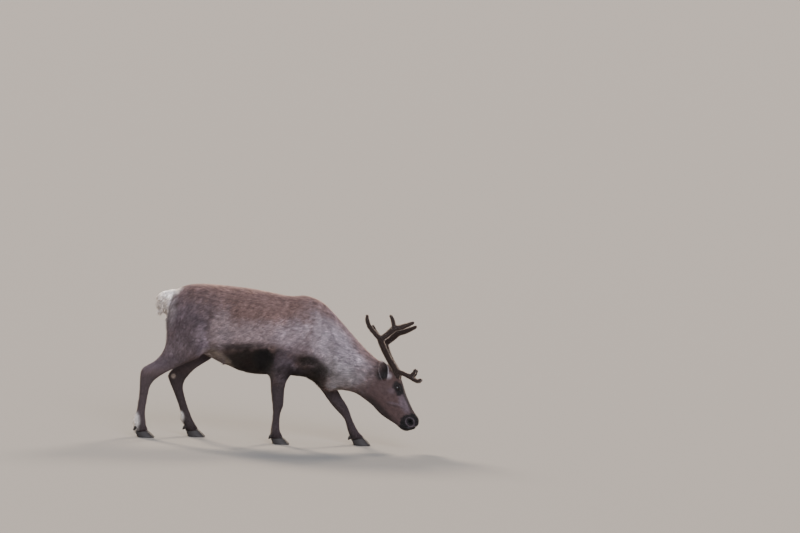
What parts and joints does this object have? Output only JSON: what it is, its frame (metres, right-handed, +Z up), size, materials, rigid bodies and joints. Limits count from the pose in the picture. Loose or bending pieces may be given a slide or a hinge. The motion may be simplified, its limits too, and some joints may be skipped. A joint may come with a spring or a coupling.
{
  "type": "reindeer",
  "caption": "Life-size reindeer standing with its head down to graze, with antlers in velvet, a thick brown-grey coat, dark legs and a short white tail.",
  "frame": {"origin": "the middle of the bounding box at the level of the hooves' soles", "axes": "+X the way the animal faces, +Y its left side, +Z up"},
  "size_m": [1.7774, 0.3414, 0.9662],
  "materials": {
    "coat_grey": "thick brown-grey hair",
    "coat_dark": "short charcoal hair of the legs",
    "coat_white": "long soft white hair",
    "velvet": "short dense brown velvet",
    "hoof_horn": "satin black horn",
    "eye_glass": "wet, near black"
  },
  "bodies": {
    "root": {"torso": "coat_grey", "neck": "coat_grey", "head": "coat_grey", "tail": "coat_white", "ear_left": "coat_grey", "eye_left": "eye_glass", "antler_left_beam": "velvet", "antler_left_brow_tine": "velvet", "antler_left_front_branch": "velvet", "antler_left_rear_tine": "velvet", "ear_right": "coat_grey", "eye_right": "eye_glass", "antler_right_beam": "velvet", "antler_right_brow_tine": "velvet", "antler_right_front_branch": "velvet", "antler_right_rear_tine": "velvet", "hind_leg_right_upper": "coat_dark", "hind_leg_right_cannon": "coat_dark", "hind_leg_right_foot": "coat_dark", "hind_leg_right_claw_left": "hoof_horn", "hind_leg_right_claw_right": "hoof_horn", "hind_leg_right_dewclaw_left": "hoof_horn", "hind_leg_right_dewclaw_right": "hoof_horn", "hind_leg_left_upper": "coat_dark", "hind_leg_left_cannon": "coat_dark", "hind_leg_left_foot": "coat_dark", "hind_leg_left_claw_left": "hoof_horn", "hind_leg_left_claw_right": "hoof_horn", "hind_leg_left_dewclaw_left": "hoof_horn", "hind_leg_left_dewclaw_right": "hoof_horn", "fore_leg_right_upper": "coat_dark", "fore_leg_right_cannon": "coat_dark", "fore_leg_right_foot": "coat_dark", "fore_leg_right_claw_left": "hoof_horn", "fore_leg_right_claw_right": "hoof_horn", "fore_leg_right_dewclaw_left": "hoof_horn", "fore_leg_right_dewclaw_right": "hoof_horn", "fore_leg_left_upper": "coat_dark", "fore_leg_left_cannon": "coat_dark", "fore_leg_left_foot": "coat_dark", "fore_leg_left_claw_left": "hoof_horn", "fore_leg_left_claw_right": "hoof_horn", "fore_leg_left_dewclaw_left": "hoof_horn", "fore_leg_left_dewclaw_right": "hoof_horn"}
  },
  "joints": []
}
